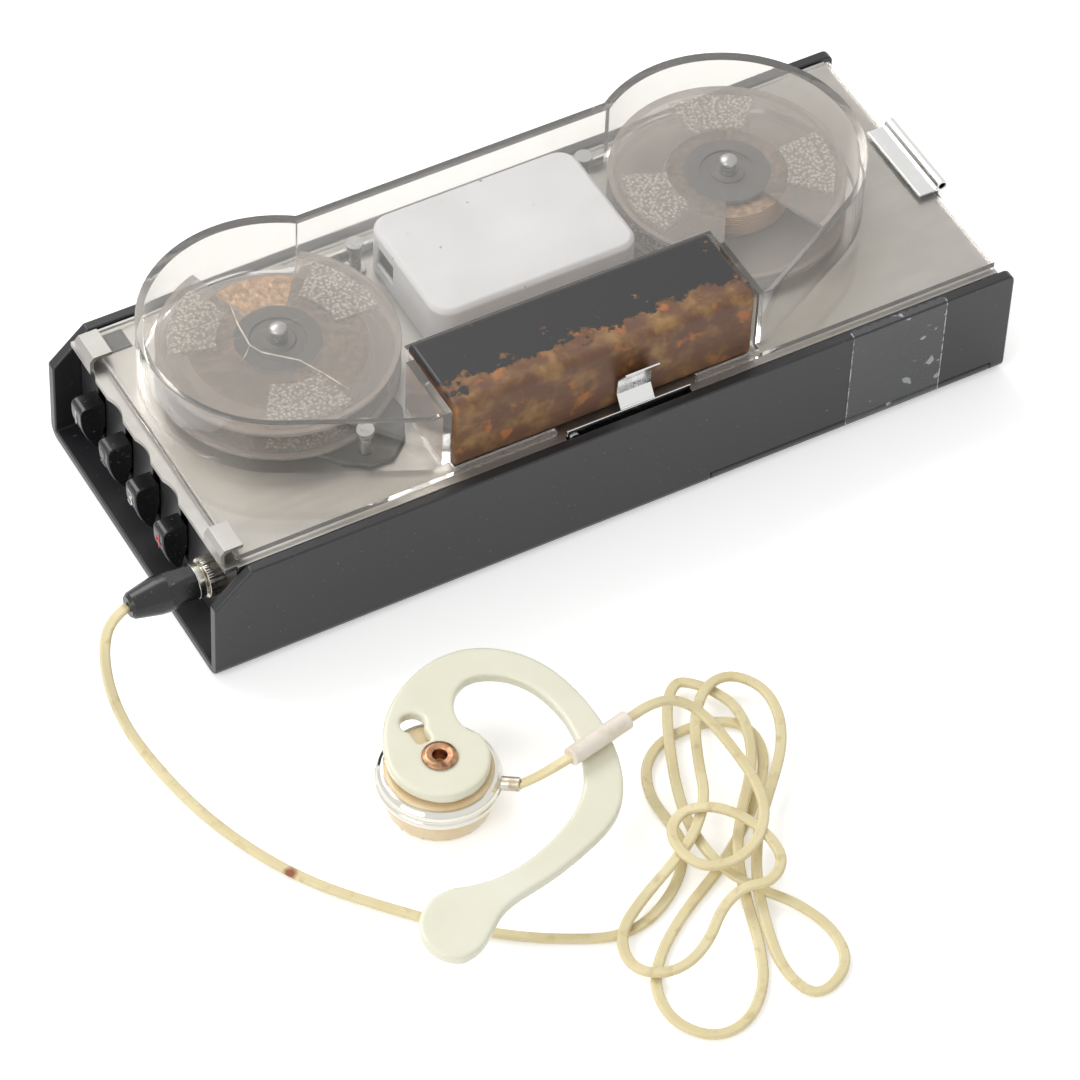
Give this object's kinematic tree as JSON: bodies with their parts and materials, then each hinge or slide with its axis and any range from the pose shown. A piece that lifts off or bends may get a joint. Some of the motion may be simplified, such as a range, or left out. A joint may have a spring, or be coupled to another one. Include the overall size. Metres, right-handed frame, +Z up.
{
  "type": "pocket wire recorder",
  "caption": "Pocket wire recorder with a clear domed lid over its reels, a battery in a bay, piano keys, and an ear-hook earphone on a hanked lead.",
  "frame": {"origin": "centre of the case's footprint on the table", "axes": "+X from the key end to the plain end, +Y away from the battery side, +Z up"},
  "size_m": [0.1861, 0.179, 0.0411],
  "materials": {
    "black_case": "moulded black plastic, satin",
    "black_key": "glossy black plastic",
    "sheet_nickel": "brushed pale metal sheet",
    "clear_lid": "clear moulded plastic, yellowed",
    "bright_steel": "polished spring steel",
    "rusty_tin": "black paint worn to brown rust",
    "grey_paint": "smooth pale grey paint",
    "steel": "turned steel",
    "reel_plastic": "clear brownish plastic",
    "wire_steel": "fine wound wire",
    "board": "laminate board",
    "parts": "small electrical components",
    "rubber": "rubber belt",
    "nickel": "aged nickel plate",
    "cream": "cream plastic",
    "ivory": "milky soft plastic",
    "copper": "copper rivet",
    "cord_vinyl": "pale yellow vinyl",
    "sleeve_vinyl": "pale translucent sleeve"
  },
  "bodies": {
    "recorder": {"case_tray": "black_case", "bottom_cover": "black_case", "key_plate": "black_case", "deck_plate": "sheet_nickel", "clip_rivet": "steel", "clip_blade": "bright_steel", "post_near": "steel", "mech_cover": "grey_paint", "head_guide": "steel", "post_left": "steel", "post_right": "steel", "motor": "steel", "belt_motor": "rubber", "circuit_board": "board", "board_parts": "parts", "key_shaft": "steel", "shaft_stand_near": "steel", "shaft_stand_far": "steel", "jack": "nickel", "jack_nut": "nickel", "plug_ring": "nickel", "plug_body": "black_key", "earphone_body": "cream", "earphone_ring": "nickel", "earphone_cap": "cream", "eyelet": "copper", "sleeve": "sleeve_vinyl", "crimp": "nickel", "cord_lead": "cord_vinyl", "cord_hank": "cord_vinyl", "cord_tail": "cord_vinyl", "cord_end": "cord_vinyl", "bearing_left": "steel", "bearing_right": "steel"},
    "lid": {"lid_flange": "clear_lid", "lid_top": "clear_lid", "lid_wall_left": "clear_lid", "lid_wall_right": "clear_lid", "lid_latch": "bright_steel"},
    "battery": {"battery_tin": "rusty_tin"},
    "clip": {"battery_clip": "bright_steel"},
    "reel_left": {"spool_left": "reel_plastic", "wire_left": "wire_steel", "spindle_left": "steel", "pulley_left": "steel"},
    "reel_right": {"spool_right": "reel_plastic", "wire_right": "wire_steel", "spindle_right": "steel", "pulley_right": "steel"},
    "motor_rotor": {"motor_pulley": "steel"},
    "head": {"head_block": "steel"},
    "hook": {"ear_hook": "ivory"},
    "key_1": {"key_1": "black_key"},
    "key_2": {"key_2": "black_key"},
    "key_3": {"key_3": "black_key"},
    "key_4": {"key_4": "black_key"}
  },
  "joints": [
    {"name": "lid_tilt", "type": "hinge", "parent": "recorder", "child": "lid", "pos_m": [-0.07601, 0, 0.0259], "axis": [0, -1, 0], "range_deg": [0, 4]},
    {"name": "battery_lift", "type": "slide", "parent": "recorder", "child": "battery", "axis": [0, 0, 1], "range_m": [0, 0.02]},
    {"name": "clip_flex", "type": "hinge", "parent": "recorder", "child": "clip", "pos_m": [0.0039, -0.0308, 0.02695], "axis": [1, 0, 0], "range_deg": [0, 10], "stiffness_Nm_per_rad": 0.6},
    {"name": "reel_left_spin", "type": "hinge", "parent": "recorder", "child": "reel_left", "pos_m": [-0.0492, 0.0068, 0.03], "axis": [0, 0, 1], "continuous": true},
    {"name": "reel_right_spin", "type": "hinge", "parent": "recorder", "child": "reel_right", "pos_m": [0.0441, 0.0068, 0.03], "axis": [0, 0, 1], "continuous": true},
    {"name": "motor_spin", "type": "hinge", "parent": "recorder", "child": "motor_rotor", "pos_m": [0.066, -0.016, 0.018], "axis": [0, 0, 1], "continuous": true},
    {"name": "head_rise", "type": "slide", "parent": "recorder", "child": "head", "axis": [0, 0, 1], "range_m": [-0.0015, 0.0015]},
    {"name": "hook_swing", "type": "hinge", "parent": "recorder", "child": "hook", "pos_m": [-0.0606, -0.0763, 0.0114], "axis": [0, 0, 1], "range_deg": [-20, 20]},
    {"name": "key_1_press", "type": "hinge", "parent": "recorder", "child": "key_1", "pos_m": [-0.066, 0.0227, 0.012], "axis": [0, -1, 0], "range_deg": [0, 10], "stiffness_Nm_per_rad": 0.25},
    {"name": "key_2_press", "type": "hinge", "parent": "recorder", "child": "key_2", "pos_m": [-0.066, 0.0116, 0.012], "axis": [0, -1, 0], "range_deg": [0, 10], "stiffness_Nm_per_rad": 0.25},
    {"name": "key_3_press", "type": "hinge", "parent": "recorder", "child": "key_3", "pos_m": [-0.066, 0.0005, 0.012], "axis": [0, -1, 0], "range_deg": [0, 10], "stiffness_Nm_per_rad": 0.25},
    {"name": "key_4_press", "type": "hinge", "parent": "recorder", "child": "key_4", "pos_m": [-0.066, -0.0106, 0.012], "axis": [0, -1, 0], "range_deg": [0, 10], "stiffness_Nm_per_rad": 0.25}
  ],
  "couplings": [
    {"joint": "reel_left_spin", "follows": "reel_right_spin", "ratio": 0.7059},
    {"joint": "motor_spin", "follows": "reel_right_spin", "ratio": 3.2353}
  ]
}
